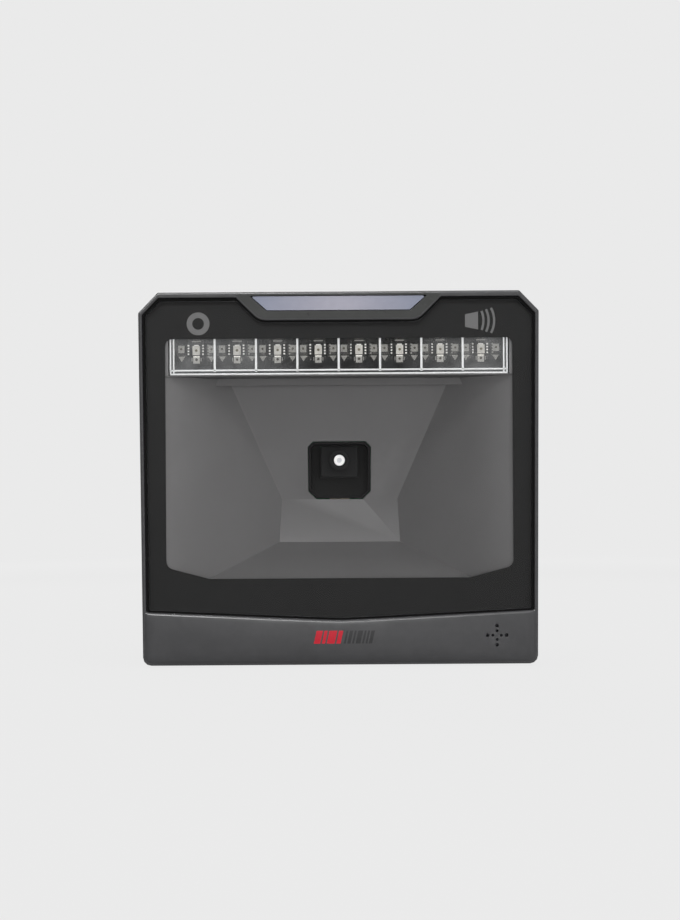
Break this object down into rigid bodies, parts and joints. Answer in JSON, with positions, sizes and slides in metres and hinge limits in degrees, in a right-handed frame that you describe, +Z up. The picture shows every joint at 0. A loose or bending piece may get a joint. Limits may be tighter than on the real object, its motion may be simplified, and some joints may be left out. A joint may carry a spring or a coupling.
{
  "type": "flatbed barcode scanner",
  "caption": "Upright desk barcode scanner: a dark front frame round a recessed window, a clear lamp bar over a grey optical funnel with a camera, and a tapered rear housing on rubber feet.",
  "frame": {"origin": "middle of the footprint, on the surface that the feet stand on", "axes": "+X to the right of a person facing the window, +Y from the window to the back, +Z up"},
  "size_m": [0.1504, 0.078, 0.1408],
  "materials": {
    "frame_plastic": "satin moulded",
    "housing_plastic": "fine textured",
    "window_clear": "polished clear",
    "mask_black": "printed black",
    "foam": "closed-cell foam",
    "diffuser": "translucent satin",
    "lamp_clear": "clear moulded optics",
    "board_black": "black solder mask",
    "board_green": "green solder mask",
    "led_package": "moulded white with phosphor",
    "baffle_plastic": "matt moulded",
    "hood_plastic": "matt black",
    "lens_glass": "polished",
    "screw_steel": "plated",
    "shield_steel": "tinned",
    "socket_plastic": "moulded black",
    "speaker_plastic": "moulded black",
    "cone_paper": "matt",
    "touch_copper": "bare copper foil",
    "ribbon_film": "film",
    "wire_jacket": "jacket",
    "foot_rubber": "matt",
    "label_film": "blank silver film"
  },
  "bodies": {
    "case": {"baffle_screw_1": "screw_steel", "baffle_screw_2": "screw_steel", "baffle_screw_3": "screw_steel", "baffle_screw_4": "screw_steel", "camera_board": "board_black", "camera_holder": "hood_plastic", "camera_hood": "hood_plastic", "camera_ribbon": "ribbon_film", "front_frame": "frame_plastic", "housing_screw_1": "screw_steel", "housing_screw_2": "screw_steel", "housing_screw_3": "screw_steel", "housing_screw_4": "screw_steel", "interface_socket": "socket_plastic", "lamp_board": "board_black", "lamp_board_screw_1": "screw_steel", "lamp_board_screw_2": "screw_steel", "lamp_harness": "wire_jacket", "lamp_led_1": "led_package", "lamp_led_2": "led_package", "lamp_led_3": "led_package", "lamp_led_4": "led_package", "lamp_led_5": "led_package", "lamp_led_6": "led_package", "lamp_led_7": "led_package", "lamp_led_8": "led_package", "lamp_lens": "lamp_clear", "lens_barrel": "hood_plastic", "lens_element": "lens_glass", "main_board": "board_green", "main_board_screw_1": "screw_steel", "main_board_screw_2": "screw_steel", "main_board_screw_3": "screw_steel", "main_board_screw_4": "screw_steel", "optical_baffle": "baffle_plastic", "rating_label": "label_film", "rear_housing": "housing_plastic", "rubber_foot_1": "foot_rubber", "rubber_foot_2": "foot_rubber", "rubber_foot_3": "foot_rubber", "rubber_foot_4": "foot_rubber", "shield_can": "shield_steel", "speaker_frame": "speaker_plastic", "speaker_gasket": "foam", "speaker_harness": "wire_jacket", "status_led_1": "led_package", "status_led_2": "led_package", "status_led_3": "led_package", "status_light_board": "board_green", "status_light_lens": "diffuser", "touch_pad_left": "touch_copper", "touch_pad_right": "touch_copper", "window_gasket": "foam", "window_glass": "window_clear", "window_mask": "mask_black"},
    "cone": {"speaker_cone": "cone_paper"}
  },
  "joints": [
    {"name": "cone_travel", "type": "slide", "parent": "case", "child": "cone", "axis": [0, -1, 0], "range_m": [-0.0003, 0.0003], "stiffness_N_per_m": 500}
  ]
}
